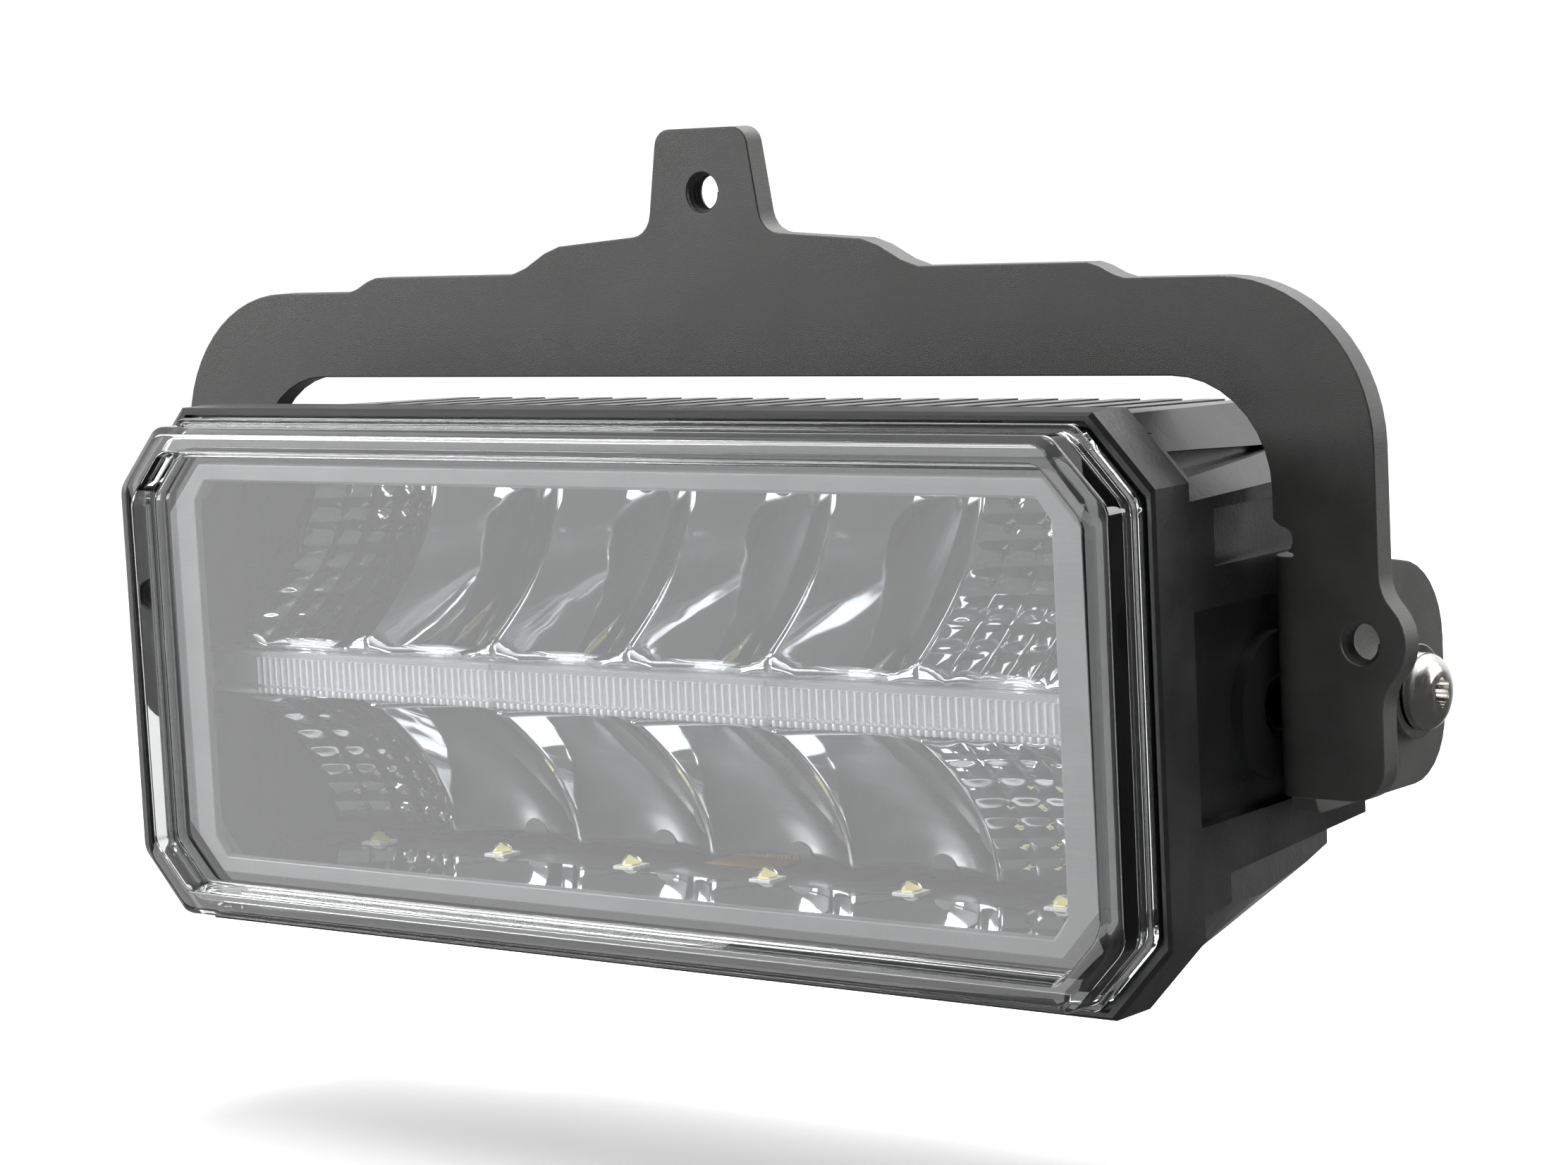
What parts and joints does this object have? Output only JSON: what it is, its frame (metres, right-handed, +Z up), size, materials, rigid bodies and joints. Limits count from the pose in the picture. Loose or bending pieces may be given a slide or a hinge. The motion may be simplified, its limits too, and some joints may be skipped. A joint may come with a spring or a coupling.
{
  "type": "fog light",
  "caption": "Rectangular LED fog lamp with cut corners and a finned die-cast housing, tilting on side screws in a flat steel arch bracket.",
  "frame": {"origin": "on the rear face of the arch plate, on the band above the lamp, at mid width", "axes": "+Z up, the lamp shines along -Y, +Y is the outward normal of the bracket's rear face, +X to the lamp's left-hand side as seen from behind it"},
  "size_m": [0.3006, 0.1013, 0.157],
  "materials": {
    "bracket_powder_coat": "fine-textured black powder coat on 5 mm steel",
    "housing_satin_black": "satin black coat on die-cast aluminium",
    "clear_lens": "clear hard-coated polycarbonate",
    "seal_rubber": "black gasket",
    "bezel_plastic": "dark grey moulding",
    "aluminised_reflector": "vacuum-metallised moulding",
    "light_guide_acrylic": "clear fluted acrylic",
    "circuit_board": "white solder mask",
    "driver_board": "green solder mask",
    "led_package": "yellow phosphor under a clear dome",
    "black_plastic": "black nylon",
    "capacitor_can": "bare can",
    "ribbon_cable": "amber flat cable",
    "plated_insert": "nickel-plated brass",
    "friction_fibre": "black fibre-filled disc",
    "stainless_steel": "bright stainless"
  },
  "bodies": {
    "bracket": {"mounting_arch": "bracket_powder_coat"},
    "lamp": {"bezel": "bezel_plastic", "boss_insert_left": "plated_insert", "boss_insert_right": "plated_insert", "cable_gland": "black_plastic", "driver_board": "driver_board", "driver_capacitor": "capacitor_can", "driver_connector": "black_plastic", "driver_inductor": "black_plastic", "friction_disc_left": "friction_fibre", "friction_disc_right": "friction_fibre", "gland_nut": "black_plastic", "housing": "housing_satin_black", "led_board_lower": "circuit_board", "led_board_upper": "circuit_board", "led_lower_1": "led_package", "led_lower_2": "led_package", "led_lower_3": "led_package", "led_lower_4": "led_package", "led_lower_5": "led_package", "led_lower_6": "led_package", "led_upper_1": "led_package", "led_upper_2": "led_package", "led_upper_3": "led_package", "led_upper_4": "led_package", "led_upper_5": "led_package", "led_upper_6": "led_package", "lens": "clear_lens", "lens_seal": "seal_rubber", "light_guide_carrier": "black_plastic", "light_guide_centre": "light_guide_acrylic", "light_guide_left": "light_guide_acrylic", "light_guide_right": "light_guide_acrylic", "mirror_strip_lower": "aluminised_reflector", "mirror_strip_upper": "aluminised_reflector", "pivot_insert_left": "plated_insert", "pivot_insert_right": "plated_insert", "pivot_screw_left": "stainless_steel", "pivot_screw_right": "stainless_steel", "pivot_washer_left": "stainless_steel", "pivot_washer_right": "stainless_steel", "position_light_board": "circuit_board", "reflector_lower": "aluminised_reflector", "reflector_upper": "aluminised_reflector", "ribbon_lower": "ribbon_cable", "ribbon_upper": "ribbon_cable", "vent_plug": "black_plastic"}
  },
  "joints": [
    {"name": "lamp_tilt", "type": "hinge", "parent": "bracket", "child": "lamp", "pos_m": [0, 0.037, -0.075], "axis": [1, 0, 0], "range_deg": [-5, 30]}
  ]
}
